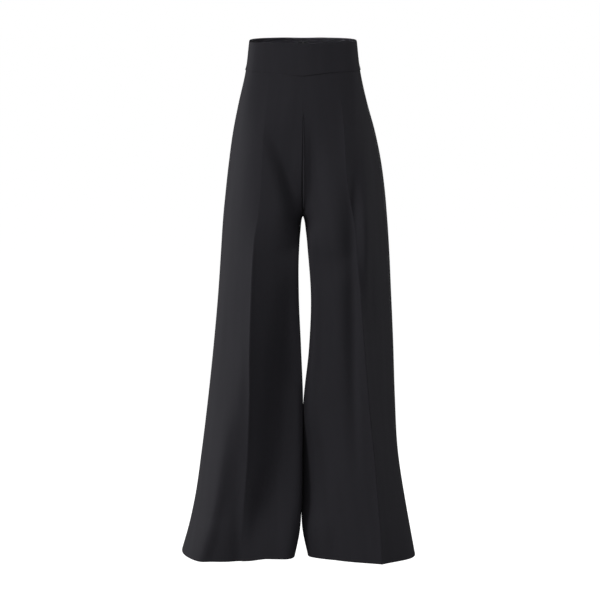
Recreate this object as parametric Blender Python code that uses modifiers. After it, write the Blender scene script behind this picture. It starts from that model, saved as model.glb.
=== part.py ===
"""Palazzo pants, filled out as if worn: a high shaped waistband over two wide pressed legs.

Metres, +Z up, the front towards -Y, the wearer's left towards +X.
The origin is the middle of the waist, half way up the waistband.

Every cloth piece is a patch of one surface. At each height a leg's section is four Bezier
arcs, from the inner leg (0) over the front crease (1), the side (2) and the back crease (3)
and round to the inner leg again (4). Above the crotch the section stays open at the centre
seams, where the two legs meet.
"""

import math

import bmesh
import bpy
import numpy as np
from mathutils import Matrix

COLLECTION = "palazzo_pants"

# Walls and gaps, metres
CLOTH_WALL = 0.0015
BAND_WALL = 0.003
SEAM_GAP = 0.0003

# Heights, metres
CROTCH = -0.350
HEM = -1.109
VALLEY_TOP = -0.245
BAND_TOP_SIDE = 0.0385
BAND_TOP_FRONT_DIP = 0.0035
BAND_TOP_BACK_RISE = 0.0055
BAND_TOP_BACK_PINCH = 0.0010
BAND_SEAM_SIDE = -0.025
BAND_SEAM_FRONT_DIP = 0.0115
BAND_SEAM_BACK_DIP = 0.004
DIP_FADE = 0.070
HEM_LIFT = {"right": (0.0070, 0.22), "left": (0.0050, 0.70)}
HEM_LIFT_FADE = 0.150

# Grid of a leg panel
COLUMNS_PER_ARC = 13
ROWS_OVER_VALLEY = 7
ROWS_IN_VALLEY = 7
ROWS_BELOW_CROTCH = 18
LOWER_ROW_GROWTH = 1.35
EDGE_COLUMN = 0.012
BAND_ROWS = 3

# Where the waist's one oval gives way to the two legs' own sections
OVAL_END = -0.055
LEGS_START = -0.230
OVAL_HANDLE = 0.35
HALVINGS = 30

# Front and side of each leg. Millimetres and degrees, x outwards from the centre.
# front_in and front_out are how steeply the cloth falls back on each side of the crease.
# in_reach, in_flat and out_round are the Bezier handles: how long the cloth keeps its way.
# inseam and outseam place the seams along the section, in arcs from the inner leg and side.
# Above the crotch inner_x lies past the middle, and the section is cut off at the centre seam.
FRONT_COLUMNS = ("z", "centre_y", "inner_x", "inner_y", "in_reach", "in_flat", "front_x", "front_y",
                 "front_in", "front_out", "out_round", "side_x", "side_y", "inseam", "outseam")
FRONT_RIGHT = (
    (45, -84, -250, 25, 61, 0.60, 70, -77, -8, 9, 0.80, 118, 0, 0.00, 0.00),
    (-30, -88, -230, 25, 64, 0.60, 74, -82, -7, 9, 0.79, 127, 0, 0.00, 0.00),
    (-100, -96, -200, 25, 75, 0.62, 80, -92, -6, 12, 0.67, 143, 2, 0.00, -0.10),
    (-160, -101, -160, 25, 89, 0.66, 86, -99, -3, 15, 0.53, 155, 4, 0.00, -0.20),
    (-230, -104, -100, 25, 109, 0.76, 90, -105, -4, 15, 0.50, 165, 6, 0.00, -0.25),
    (-300, -105, -40, 25, 124, 0.84, 94, -110, -3, 18, 0.46, 173, 6, 0.00, -0.26),
    (-350, -105, 0, 25, 134, 0.94, 100, -113, -1, 24, 0.44, 178, 6, 0.00, -0.25),
    (-382, -105, 5.7, -40, 66, 0.96, 106, -114, 3, 30, 0.42, 180.5, 6, -0.12, -0.24),
    (-420, -105, 8.5, -80, 20, 0.97, 109.5, -115, 9, 36, 0.42, 183, 6, -0.20, -0.22),
    (-520, -105, 9, -70, 19, 0.97, 114.5, -118, 16, 40, 0.46, 190, 6, -0.22, -0.10),
    (-640, -105, 4, -62, 24, 0.96, 118, -120, 20, 42, 0.46, 201, 6, -0.22, 0.02),
    (-760, -105, -0.4, -52, 64, 0.85, 119, -122, 23, 33, 0.50, 214, 6, -0.20, 0.04),
    (-880, -105, 0.6, -60, 58, 0.82, 124, -125, 22, 16, 0.55, 229, 6, -0.18, 0.04),
    (-1000, -105, 2.8, -75, 50, 0.85, 133, -128, 14, 3, 0.58, 247, 2, -0.20, 0.03),
    (-1050, -105, 7, -85, 41, 0.88, 136, -128, 2, -7, 0.62, 258, -4, -0.22, 0.02),
    (-1110, -105, 20, -105, 24, 0.93, 138, -124, -10, -14, 0.64, 275, -12, -0.25, 0.02),
)
FRONT_LEFT = (
    (45, -84, -250, 25, 61, 0.60, 70, -77, -10, 12, 0.75, 118, 0, 0.00, 0.00),
    (-30, -88, -230, 25, 64, 0.60, 74, -82, -9, 10, 0.75, 127, 0, 0.00, 0.00),
    (-100, -96, -200, 25, 74, 0.62, 84, -91, -8, 18, 0.58, 143, 12, 0.00, -0.12),
    (-160, -101, -160, 25, 89, 0.66, 90, -98, -4, 26, 0.50, 160, 26, 0.00, -0.25),
    (-230, -104, -100, 25, 108, 0.74, 94, -103, 0, 25, 0.47, 175, 40, 0.00, -0.34),
    (-300, -105, -40, 25, 124, 0.86, 102, -107, 2, 27, 0.47, 184.5, 45, 0.00, -0.36),
    (-350, -105, 0, 25, 134, 0.95, 111, -110, 3, 30, 0.47, 189, 45, 0.00, -0.36),
    (-382, -105, 6.6, -40, 66, 0.97, 114, -111, 4, 32, 0.47, 191.5, 45, -0.12, -0.36),
    (-420, -105, 10.5, -78, 20, 0.98, 117, -112, 8, 35, 0.47, 194, 45, -0.20, -0.34),
    (-520, -105, 17.3, -78, 20, 0.98, 127, -115, 9, 42, 0.46, 199, 42, -0.22, -0.28),
    (-640, -105, 13, -76, 24, 0.97, 137, -119, 9, 52, 0.45, 204.5, 36, -0.22, -0.20),
    (-760, -105, 1.2, -40, 80, 0.88, 147, -123, 8, 54, 0.45, 208.5, 26, -0.15, -0.10),
    (-880, -105, -1.8, 15, 122, 0.73, 159, -129, 8, 52, 0.45, 215, 10, -0.05, -0.04),
    (-1000, -105, -3.2, 5, 122, 0.73, 169, -138, 10, 48, 0.45, 233, -16, -0.08, 0.00),
    (-1045, -105, -2.4, -40, 82, 0.84, 173, -143, 12, 44, 0.47, 241, -34, -0.15, 0.00),
    (-1110, -105, 12, -88, 28, 0.95, 176, -150, 14, 38, 0.50, 253, -58, -0.22, 0.00),
)

# Back of both legs
BACK_COLUMNS = ("z", "centre_y", "inner_x", "in_round", "in_flat", "back_x", "back_y", "back_in", "back_out")
BACK = (
    (45, 84, -250, 0.60, 0.60, 68, 76, -13, 18),
    (-30, 89, -230, 0.60, 0.60, 70, 81, -13, 19),
    (-100, 101, -200, 0.64, 0.60, 70, 94, -12, 24),
    (-160, 111, -160, 0.72, 0.60, 76, 110, -2, 28),
    (-230, 117, -95, 0.84, 0.60, 82, 122, 6, 30),
    (-300, 117, -38, 0.93, 0.58, 90, 125, 12, 32),
    (-350, 117, 0, 0.97, 0.56, 98, 122, 16, 34),
    (-420, 117, 0, 0.88, 0.55, 106, 118, 22, 36),
    (-520, 117, 0, 0.88, 0.55, 114, 115, 26, 38),
    (-640, 117, 0, 0.86, 0.55, 121, 116, 28, 38),
    (-760, 117, 0, 0.84, 0.55, 126, 118, 28, 36),
    (-880, 117, 0, 0.84, 0.55, 131, 122, 26, 34),
    (-1000, 117, 0, 0.86, 0.55, 138, 127, 24, 32),
    (-1110, 117, 0, 0.86, 0.55, 144, 132, 22, 30),
)

# Folds over the front and back. Millimetres: a line through three points, x outwards from the
# centre, half widths towards the inner leg and the side, and how far the cloth stands out (+)
# or sinks in (-). They fade out over FOLD_TURN, in metres, where the cloth turns edge on.
FOLD_TURN = 0.035
FOLD_COLUMNS = ("leg", "face", "x_top", "z_top", "x_mid", "z_mid", "x_end", "z_end",
                "inner_half", "outer_half", "height")
FOLDS = (
    ("right", "front", 79, -135, 33, -250, -4, -450, 60, 21, -17.5),
    ("right", "front", 2, -290, 6, -500, 4, -760, 20, 32, -15),
    ("right", "front", 8, -470, 42, -790, 70, -1090, 56, 40, -26),
    ("right", "front", 66, -860, 92, -980, 118, -1100, 34, 20, -7),
    ("right", "front", 132, -540, 144, -720, 172, -920, 20, 24, 5),
    ("right", "front", 168, -740, 192, -960, 300, -1300, 19, 26, 14),
    ("right", "front", 126, -780, 143, -930, 134, -1220, 18, 18, -6),
    ("right", "front", 2, -330, 16, -520, 4, -780, 12, 14, 6),
    ("right", "front", 26, -960, 28, -1080, 30, -1260, 12, 22, 5),
    ("left", "front", 68, -190, 71, -330, 75, -520, 32, 30, 6),
    ("left", "front", 68, -270, 71, -490, 74, -760, 38, 32, 6),
    ("left", "front", 108, -190, 110, -520, 120, -960, 15, 10, -8),
    ("left", "front", 18, -120, 20, -250, 16, -400, 12, 28, -6.5),
    ("left", "front", 2, -330, 22, -545, 4, -780, 12, 14, 9),
    ("left", "front", 172, -130, 176, -330, 190, -620, 7, 12, -4),
    ("left", "front", 138, -150, 141, -340, 152, -600, 20, 26, 23),
    ("left", "front", 150, -370, 151, -480, 156, -610, 8, 7, -4),
    ("left", "front", 26, -700, 36, -920, 50, -1150, 18, 34, -8),
    ("left", "front", 70, -960, 70, -1060, 72, -1170, 16, 16, -3),
    ("right", "back", 60, -330, 92, -520, 130, -760, 26, 26, -8),
    ("left", "back", 70, -330, 96, -560, 150, -860, 28, 28, -8),
    ("right", "back", 190, -700, 196, -920, 205, -1200, 26, 26, 9),
    ("left", "back", 180, -640, 190, -900, 205, -1200, 28, 28, 8),
)

# Concealed zip at the centre back, metres. Sizes are in the slider's own frame: x across,
# y away from the cloth, z up, from the axis that the pull swings on.
ZIP_HEIGHT = 0.0265
SLIDER_WIDTH = 0.0052
SLIDER_LENGTH = 0.0095
SLIDER_DEPTH = 0.0018
AXIS_ABOVE_SLIDER = 0.0015
CROWN_WIDTH = 0.0016
CROWN_LENGTH = 0.0038
CROWN_HEIGHT = 0.0031
CROWN_HOLE_RADIUS = 0.00095
PULL_WIDTH = 0.0046
PULL_LENGTH = 0.0180
PULL_DEPTH = 0.0009
PULL_BAR = 0.0010
PULL_WINDOW_WIDTH = 0.0024
PULL_WINDOW_LENGTH = 0.0048
EDGE_RADIUS = 0.0003
METAL_EDGE_RADIUS = 0.0006
SHARP_ANGLE = math.radians(60)

CHARCOAL = (0.020, 0.020, 0.023, 1.0)
METAL_BLACK = (0.030, 0.030, 0.033, 1.0)


def column(rows, names, name):
    """One named column of a table, as an array."""
    return np.array([row[names.index(name)] for row in rows], dtype=float)


def along(z, rows, names, name):
    """A column's value at heights z: cubic Hermite arcs through the table's rows."""
    heights = -column(rows, names, "z") / 1000
    values = column(rows, names, name)
    slopes = np.gradient(values, heights)
    down = np.clip(-z, heights[0], heights[-1])
    i = np.clip(np.searchsorted(heights, down) - 1, 0, len(heights) - 2)
    span = heights[i + 1] - heights[i]
    t = (down - heights[i]) / span
    start = (1 + 2 * t) * (1 - t) ** 2 * values[i] + t * (1 - t) ** 2 * span * slopes[i]
    end = t * t * (3 - 2 * t) * values[i + 1] - t * t * (1 - t) * span * slopes[i + 1]
    return start + end


def bezier(t, start, leave, end, arrive, reach_start, reach_end):
    """A cubic arc between two points, with a direction and a handle's length at each."""
    points = []
    for axis in (0, 1):
        a = start[axis]
        b = a + leave[axis] * reach_start
        d = end[axis]
        c = d - arrive[axis] * reach_end
        points.append((1 - t) ** 3 * a + 3 * t * (1 - t) ** 2 * b + 3 * t * t * (1 - t) * c + t ** 3 * d)
    return points


def inner_arc(t, z, way, inner, centre_y, crease, fall, in_reach, in_flat):
    """From the inner leg or the centre seam (0) to a crease (1); way is -1 in front, 1 behind.

    A leg's arc leaves the inner point straight along Y. Above the crotch it is cut off where
    it crosses the middle, and towards the waist it blends into one flat oval.
    """
    across = crease[0] - inner[0]
    arrive = (np.cos(fall), way * np.sin(fall))

    def leg_arc(s):
        return bezier(s, inner, (0, way), crease, arrive, in_reach, across * in_flat)

    low, high = np.zeros_like(t + z), np.ones_like(t + z)
    for _ in range(HALVINGS):
        middle = (low + high) / 2
        short = leg_arc(middle)[0] < 0
        low, high = np.where(short, middle, low), np.where(short, high, middle)
    cut = np.where(z > CROTCH, low, 0)
    leg = leg_arc(cut + (1 - cut) * t)
    reach = crease[0] * OVAL_HANDLE
    oval = bezier(t, (0 * t, centre_y), (1, 0), crease, arrive, reach, reach)
    share = np.clip((OVAL_END - z) / (OVAL_END - LEGS_START), 0, 1)
    share = share * share * (3 - 2 * share)
    return [oval[axis] * (1 - share) + leg[axis] * share for axis in (0, 1)]


def outer_arc(t, way, crease, fall, side, handle):
    """From a crease (0) to the side (1), arriving straight along Y."""
    across = side[0] - crease[0]
    deep = np.abs(side[1] - crease[1])
    leave = (np.cos(fall), -way * np.sin(fall))
    reach = handle * (across * np.cos(fall) + deep * np.abs(np.sin(fall)))
    return bezier(t, crease, leave, side, (0, -way), reach, handle * deep)


def section(leg, q, z):
    """Points of a leg's surface at arc positions q and heights z, x outwards, metres."""
    front = FRONT_LEFT if leg == "left" else FRONT_RIGHT

    def of_front(name, scale=0.001):
        return along(z, front, FRONT_COLUMNS, name) * scale

    def of_back(name, scale=0.001):
        return along(z, BACK, BACK_COLUMNS, name) * scale

    degree = math.pi / 180
    q = np.mod(q + 0 * z, 4.0000001)
    arc = np.minimum(np.floor(q), 3).astype(int)
    t = q - arc
    crease = (of_front("front_x"), of_front("front_y"))
    side = (of_front("side_x"), of_front("side_y"))
    rear = (of_back("back_x"), of_back("back_y"))
    inner_y = of_front("inner_y")
    inner_rear = np.where(z > CROTCH, of_back("inner_x"), of_front("inner_x"))
    rear_reach = of_back("in_round", 1) * np.abs(rear[1] - inner_y)
    arcs = (
        inner_arc(t, z, -1, (of_front("inner_x"), inner_y), of_front("centre_y"), crease,
                  of_front("front_in", degree), of_front("in_reach"), of_front("in_flat", 1)),
        outer_arc(t, -1, crease, of_front("front_out", degree), side, of_front("out_round", 1)),
        outer_arc(1 - t, 1, rear, of_back("back_out", degree), side, 0.5),
        inner_arc(1 - t, z, 1, (inner_rear, inner_y), of_back("centre_y"), rear,
                  of_back("back_in", degree), rear_reach, of_back("in_flat", 1)),
    )
    x = np.choose(arc, [a[0] for a in arcs])
    y = np.choose(arc, [a[1] for a in arcs])
    turn = np.choose(arc, (inner_y, side[1], side[1], inner_y))
    share = np.clip(np.abs(y - turn) / FOLD_TURN, 0, 1)
    forward = folds(leg, arc, x, z) * share * share * (3 - 2 * share)
    return x, y + np.where(arc < 2, -forward, forward)


def folds(leg, arc, x, z):
    """How far the folds lift the cloth. Across its line a fold is a Gaussian bump, wider on one
    side than the other. Along it the height follows a sine to the power one and a half."""
    lift = np.zeros_like(x)
    for fold in FOLDS:
        row = dict(zip(FOLD_COLUMNS, fold))
        if row["leg"] != leg:
            continue
        top, mid, end = (row[name] / 1000 for name in ("z_top", "z_mid", "z_end"))
        s = (top - z) / (top - end)
        m = (top - mid) / (top - end)
        x_top, x_mid, x_end = (row[name] / 1000 for name in ("x_top", "x_mid", "x_end"))
        bend = (x_mid - x_top - (x_end - x_top) * m) / (m * (m - 1))
        line = x_top + (x_end - x_top) * s + bend * s * (s - 1)
        fade = np.sin(math.pi * np.clip(s, 0, 1)) ** 1.5
        half = np.where(x < line, row["inner_half"], row["outer_half"]) / 1000
        bump = row["height"] / 1000 * fade * np.exp(-((x - line) / half) ** 2)
        lift += np.where((arc < 2) == (row["face"] == "front"), bump, 0)
    return lift


def seam_height(q):
    """Height of the waist seam: a shallow V at the front and a slight dip at the back."""
    inward = 1 - np.abs(np.sin(math.pi * q / 4))
    return BAND_SEAM_SIDE - np.where(q < 2, BAND_SEAM_FRONT_DIP, BAND_SEAM_BACK_DIP) * inward


def hem_lift(leg, q, z):
    """How much the hem rises round the inner leg: a smooth step of the way from each crease to
    the inner leg, which fades out up the leg."""
    height, width = HEM_LIFT[leg]
    near = np.clip((1 - np.minimum(np.abs(q), np.abs(4 - q))) / width, 0, 1)
    low = np.clip(1 - (z - HEM) / HEM_LIFT_FADE, 0, 1)
    return height * near * near * (3 - 2 * near) * low


def top_height(q):
    """Height of the waistband's upper edge: a dip in front, and a rise behind that is pinched
    lower at the zip."""
    round_back = np.cos(math.pi * q / 4)
    near_zip = np.clip((np.abs(round_back) - 0.86) / 0.14, 0, 1)
    behind = BAND_TOP_BACK_RISE * np.abs(round_back) ** 0.4 - BAND_TOP_BACK_PINCH * near_zip ** 2
    return BAND_TOP_SIDE + np.where(q < 2, -BAND_TOP_FRONT_DIP * round_back, behind)


def panel_rows():
    """Heights of a leg panel's rows: even to the valley, close at the crotch, wider below."""
    over = np.linspace(BAND_SEAM_SIDE, VALLEY_TOP, ROWS_OVER_VALLEY, endpoint=False)
    swing = np.linspace(0, math.pi / 2, ROWS_IN_VALLEY + 1)
    valley = VALLEY_TOP - (VALLEY_TOP - CROTCH) * np.sin(swing)
    lower = np.linspace(0, 1, ROWS_BELOW_CROTCH + 1)[1:] ** LOWER_ROW_GROWTH
    return np.concatenate([over, valley, CROTCH + (HEM - CROTCH) * lower])


def panel_columns():
    """Places across a panel, 0 to 1, with a narrow column at each edge and one at the crease."""
    half = np.linspace(0, 0.5, COLUMNS_PER_ARC)
    inner = np.concatenate([[0, EDGE_COLUMN], half[1:]])
    return np.concatenate([inner, 1 - inner[::-1][1:]])


def open_edges(points):
    """Draws the two edge columns in by half the seam gap, along the cloth."""
    for edge, inside in ((0, 1), (-1, -2)):
        way = points[:, inside] - points[:, edge]
        length = np.linalg.norm(way, axis=1, keepdims=True)
        points[:, edge] += way * (SEAM_GAP / 2) / length
    return points


def leg_points(leg, face):
    """Grid of points of one leg panel, waist seam to hem, centre to side."""
    rows = panel_rows()[:, None]
    u = panel_columns()[None, :]
    table = FRONT_LEFT if leg == "left" else FRONT_RIGHT
    inseam = np.where(rows < CROTCH, along(rows, table, FRONT_COLUMNS, "inseam"), 0)
    outseam = 2 + along(rows, table, FRONT_COLUMNS, "outseam")
    crease = 1 if face == "front" else 3
    inner = inseam if face == "front" else inseam + 4
    q = np.where(u < 0.5, inner + (crease - inner) * u * 2, crease + (outseam - crease) * (u * 2 - 1))
    drop = np.clip(1 + (rows - BAND_SEAM_SIDE) / DIP_FADE, 0, 1)
    z = rows + (seam_height(q) - SEAM_GAP / 2 - BAND_SEAM_SIDE) * drop + hem_lift(leg, q, rows)
    x, y = section(leg, q, z)
    return open_edges(place(leg, x, y, z))


def place(leg, x, y, z):
    """World points from a leg's own x, which runs outwards."""
    way = 1 if leg == "left" else -1
    return np.stack([way * (x + SEAM_GAP / 2), y, z + 0 * x], axis=-1)


def band_points(leg, q_from, q_to):
    """Grid of points of the waistband between two arc positions, top edge to waist seam."""
    q = q_from + (q_to - q_from) * panel_columns()[None, :] + np.zeros((BAND_ROWS, 1))
    t = np.linspace(0, 1, BAND_ROWS)[:, None]
    z = top_height(q) * (1 - t) + (seam_height(q) + SEAM_GAP / 2) * t
    x, y = section(leg, q, z)
    return place(leg, x, y, z)


def material(name, colour, roughness, metallic=0.0):
    """A plain Principled finish."""
    finish = bpy.data.materials.new(name)
    finish.use_nodes = True
    shader = finish.node_tree.nodes["Principled BSDF"]
    shader.inputs["Base Color"].default_value = colour
    shader.inputs["Roughness"].default_value = roughness
    shader.inputs["Metallic"].default_value = metallic
    return finish


def cloth(name, points, wall, collection, finish):
    """An open grid of cloth, given its wall inwards by Solidify."""
    rows, columns = points.shape[:2]
    index = np.arange(rows * columns).reshape(rows, columns)
    quads = np.stack([index[:-1, :-1], index[1:, :-1], index[1:, 1:], index[:-1, 1:]], axis=-1)
    mesh = bpy.data.meshes.new(name)
    mesh.from_pydata(points.reshape(-1, 3).tolist(), [], quads.reshape(-1, 4).tolist())
    mesh.shade_smooth()
    mesh.materials.append(finish)
    piece = bpy.data.objects.new(name, mesh)
    collection.objects.link(piece)
    shell = piece.modifiers.new("wall", "SOLIDIFY")
    shell.thickness = wall
    shell.offset = -1
    shell.use_even_offset = True
    return piece


def block(name, low, high, collection):
    """A rectangular block between two corners, with its origin at the frame's."""
    mesh = bpy.data.meshes.new(name)
    shape = bmesh.new()
    bmesh.ops.create_cube(shape, size=1.0)
    for vert in shape.verts:
        vert.co = [low[i] + (vert.co[i] + 0.5) * (high[i] - low[i]) for i in range(3)]
    shape.to_mesh(mesh)
    shape.free()
    piece = bpy.data.objects.new(name, mesh)
    collection.objects.link(piece)
    return piece


def boolean(piece, tool, operation):
    """Joins or cuts a piece with a tool object, which stays as a hidden guide."""
    step = piece.modifiers.new(f"{operation.lower()}_{tool.name}", "BOOLEAN")
    step.operation = operation
    step.object = tool
    step.solver = "EXACT"
    tool.hide_render = True
    tool.display_type = "WIRE"


def soften(piece, width):
    """Rounds the long edges of a small metal piece."""
    edge = piece.modifiers.new("edge", "BEVEL")
    edge.width = width
    edge.segments = 2
    edge.limit_method = "ANGLE"
    edge.angle_limit = SHARP_ANGLE


def zip_pieces(parts, cutters):
    """The slider, seated on the band at the centre back, and the pull that swings on it."""
    heights = np.array([ZIP_HEIGHT - SLIDER_LENGTH / 2, ZIP_HEIGHT + SLIDER_LENGTH / 2])
    outer = section("left", np.full(2, 4.0), heights)[1]
    lean = math.atan2(outer[0] - outer[1], SLIDER_LENGTH)
    stand = SEAM_GAP + SLIDER_DEPTH + AXIS_ABOVE_SLIDER
    mount = bpy.data.objects.new("zip_mount", None)
    parts.objects.link(mount)
    mount.location = (0, outer.mean() + stand * math.cos(lean), ZIP_HEIGHT + stand * math.sin(lean))

    base = -AXIS_ABOVE_SLIDER
    slider = block("zip_slider", (-SLIDER_WIDTH / 2, base - SLIDER_DEPTH, -SLIDER_LENGTH / 2),
                   (SLIDER_WIDTH / 2, base, SLIDER_LENGTH / 2), parts)
    soften(slider, METAL_EDGE_RADIUS)
    crown = block("crown", (-CROWN_WIDTH / 2, base - SLIDER_DEPTH / 2, -CROWN_LENGTH / 2),
                  (CROWN_WIDTH / 2, base + CROWN_HEIGHT, CROWN_LENGTH / 2), cutters)
    hole = bpy.data.meshes.new("crown_hole")
    shape = bmesh.new()
    bmesh.ops.create_cone(shape, cap_ends=True, segments=16, radius1=CROWN_HOLE_RADIUS,
                          radius2=CROWN_HOLE_RADIUS, depth=SLIDER_WIDTH,
                          matrix=Matrix.Rotation(math.pi / 2, 4, "Y"))
    shape.to_mesh(hole)
    shape.free()
    hole = bpy.data.objects.new("crown_hole", hole)
    cutters.objects.link(hole)
    boolean(slider, crown, "UNION")
    boolean(slider, hole, "DIFFERENCE")

    pull = block("zip_pull", (-PULL_WIDTH / 2, -PULL_DEPTH / 2, PULL_BAR / 2 - PULL_LENGTH),
                 (PULL_WIDTH / 2, PULL_DEPTH / 2, PULL_BAR / 2), parts)
    window_top = -PULL_BAR / 2
    window = block("pull_window", (-PULL_WINDOW_WIDTH / 2, -PULL_DEPTH, window_top - PULL_WINDOW_LENGTH),
                   (PULL_WINDOW_WIDTH / 2, PULL_DEPTH, window_top), cutters)
    boolean(pull, window, "DIFFERENCE")
    soften(pull, EDGE_RADIUS)
    for piece in (slider, crown, hole):
        piece.parent = mount
        piece.rotation_euler = (lean, 0, 0)
    for piece in (pull, window):
        piece.parent = mount
    for piece in (slider, pull):
        piece.data.materials.append(material(piece.name, METAL_BLACK, 0.45, 0.6))


def build():
    for item in list(bpy.data.objects):
        bpy.data.objects.remove(item, do_unlink=True)
    parts = bpy.data.collections.new(COLLECTION)
    cutters = bpy.data.collections.new(COLLECTION + "_cutters")
    for group in (parts, cutters):
        bpy.context.scene.collection.children.link(group)
    for leg in ("left", "right"):
        for face in ("front", "back"):
            name = f"{face}_leg_{leg}"
            points = leg_points(leg, face)
            if (leg == "left") != (face == "front"):
                points = points[:, ::-1]
            cloth(name, points, CLOTH_WALL, parts, material(name, CHARCOAL, 0.85))
    left = band_points("left", 0, 2)
    right = band_points("right", 0, 2)
    left[:, 0, 0] = 0
    front = open_edges(np.concatenate([right[:, :0:-1], left], axis=1))
    cloth("waistband_front", front, BAND_WALL, parts, material("waistband_front", CHARCOAL, 0.85))
    for leg in ("left", "right"):
        name = f"waistband_back_{leg}"
        points = open_edges(band_points(leg, 2, 4))
        if leg == "right":
            points = points[:, ::-1]
        cloth(name, points, BAND_WALL, parts, material(name, CHARCOAL, 0.85))
    zip_pieces(parts, cutters)


build()
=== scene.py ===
"""Palazzo pants: the cloth, the sewing and the finish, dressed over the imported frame.

Metres, +Z up, the front towards -Y, the wearer's left towards +X.
"""

import math

import bpy
import numpy as np
from mathutils import Matrix, Vector


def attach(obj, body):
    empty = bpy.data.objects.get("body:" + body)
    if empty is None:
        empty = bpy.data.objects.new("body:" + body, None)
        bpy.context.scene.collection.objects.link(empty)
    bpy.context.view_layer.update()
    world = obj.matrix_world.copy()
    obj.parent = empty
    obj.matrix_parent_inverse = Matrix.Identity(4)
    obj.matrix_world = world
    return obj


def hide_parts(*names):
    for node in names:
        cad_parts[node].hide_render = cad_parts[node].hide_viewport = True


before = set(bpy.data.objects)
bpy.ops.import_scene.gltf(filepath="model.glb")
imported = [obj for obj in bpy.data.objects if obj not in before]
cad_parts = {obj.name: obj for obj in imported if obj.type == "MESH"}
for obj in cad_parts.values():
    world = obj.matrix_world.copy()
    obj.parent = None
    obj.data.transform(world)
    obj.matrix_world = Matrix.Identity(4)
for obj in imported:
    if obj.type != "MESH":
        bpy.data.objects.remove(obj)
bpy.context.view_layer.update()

TROUSERS = "trousers"


# -----------------------------------------------------------------------------------------
# Leg panels. Two fronts and two backs of heavy charcoal crepe on the straight grain, sewn
# to each other at the centre, the side and the inner leg. Each is pressed to a crease down
# its middle, and its hem is turned up inside and blind-stitched.

CROTCH = -0.350
HEM = -1.109
BAND_SEAM_SIDE = -0.025
BAND_SEAM_FRONT_DIP = 0.0115
BAND_SEAM_BACK_DIP = 0.004
DIP_FADE = 0.070
CLOTH_WALL = 0.0009
HEM_ROUND = 0.0013
HEM_DEPTH = 0.040
PANEL_ROWS = 250
COLUMNS_PER_ARC = 56
COLUMN_CROWDING = 0.55
ROLL_STEPS = 5

# How far each hem rises at the inner leg, and over what share of the arcs beside it
HEM_LIFT = {"right": (0.0070, 0.22), "left": (0.0050, 0.70)}
HEM_LIFT_FADE = 0.150

# The section changes from the waist's oval to the legs' own between these heights
OVAL_END = -0.055
LEGS_START = -0.230
OVAL_HANDLE = 0.35
SIDE_HANDLE_BEHIND = 0.5
HALVINGS = 30

# Four arcs go round a leg, and a hair more keeps the last edge from being read as the first
ARCS_ROUND = 4.0000001

# Millimetres and degrees, x outwards from the centre. front_in and front_out are how steeply
# the cloth falls back beside the crease; in_reach, in_flat and out_round are Bezier handles;
# inseam and outseam place the seams along the section, in arcs.
FRONT_COLUMNS = ("z", "centre_y", "inner_x", "inner_y", "in_reach", "in_flat", "front_x", "front_y",
                 "front_in", "front_out", "out_round", "side_x", "side_y", "inseam", "outseam")
FRONT_RIGHT = (
    (45, -84, -250, 25, 61, 0.60, 70, -77, -8, 9, 0.80, 118, 0, 0.00, 0.00),
    (-30, -88, -230, 25, 64, 0.60, 74, -82, -7, 9, 0.79, 127, 0, 0.00, 0.00),
    (-100, -96, -200, 25, 75, 0.62, 80, -92, -6, 12, 0.67, 143, 2, 0.00, -0.10),
    (-160, -101, -160, 25, 89, 0.66, 86, -99, -3, 15, 0.53, 155, 4, 0.00, -0.20),
    (-230, -104, -100, 25, 109, 0.76, 90, -105, -4, 15, 0.50, 165, 6, 0.00, -0.25),
    (-300, -105, -40, 25, 124, 0.84, 94, -110, -3, 18, 0.46, 173, 6, 0.00, -0.26),
    (-350, -105, 0, 25, 134, 0.94, 100, -113, -1, 24, 0.44, 178, 6, 0.00, -0.25),
    (-382, -105, 5.7, -40, 66, 0.96, 106, -114, 3, 30, 0.42, 180.5, 6, -0.12, -0.24),
    (-420, -105, 8.5, -80, 20, 0.97, 109.5, -115, 9, 36, 0.42, 183, 6, -0.20, -0.22),
    (-520, -105, 9, -70, 19, 0.97, 114.5, -118, 16, 40, 0.46, 190, 6, -0.22, -0.10),
    (-640, -105, 4, -62, 24, 0.96, 118, -120, 20, 42, 0.46, 201, 6, -0.22, 0.02),
    (-760, -105, -0.4, -52, 64, 0.85, 119, -122, 23, 33, 0.50, 214, 6, -0.20, 0.04),
    (-880, -105, 0.6, -60, 58, 0.82, 124, -125, 22, 16, 0.55, 229, 6, -0.18, 0.04),
    (-1000, -105, 2.8, -75, 50, 0.85, 133, -128, 14, 3, 0.58, 247, 2, -0.20, 0.03),
    (-1050, -105, 7, -85, 41, 0.88, 136, -128, 2, -7, 0.62, 258, -4, -0.22, 0.02),
    (-1110, -105, 20, -105, 24, 0.93, 138, -124, -10, -14, 0.64, 275, -12, -0.25, 0.02),
)
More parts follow.
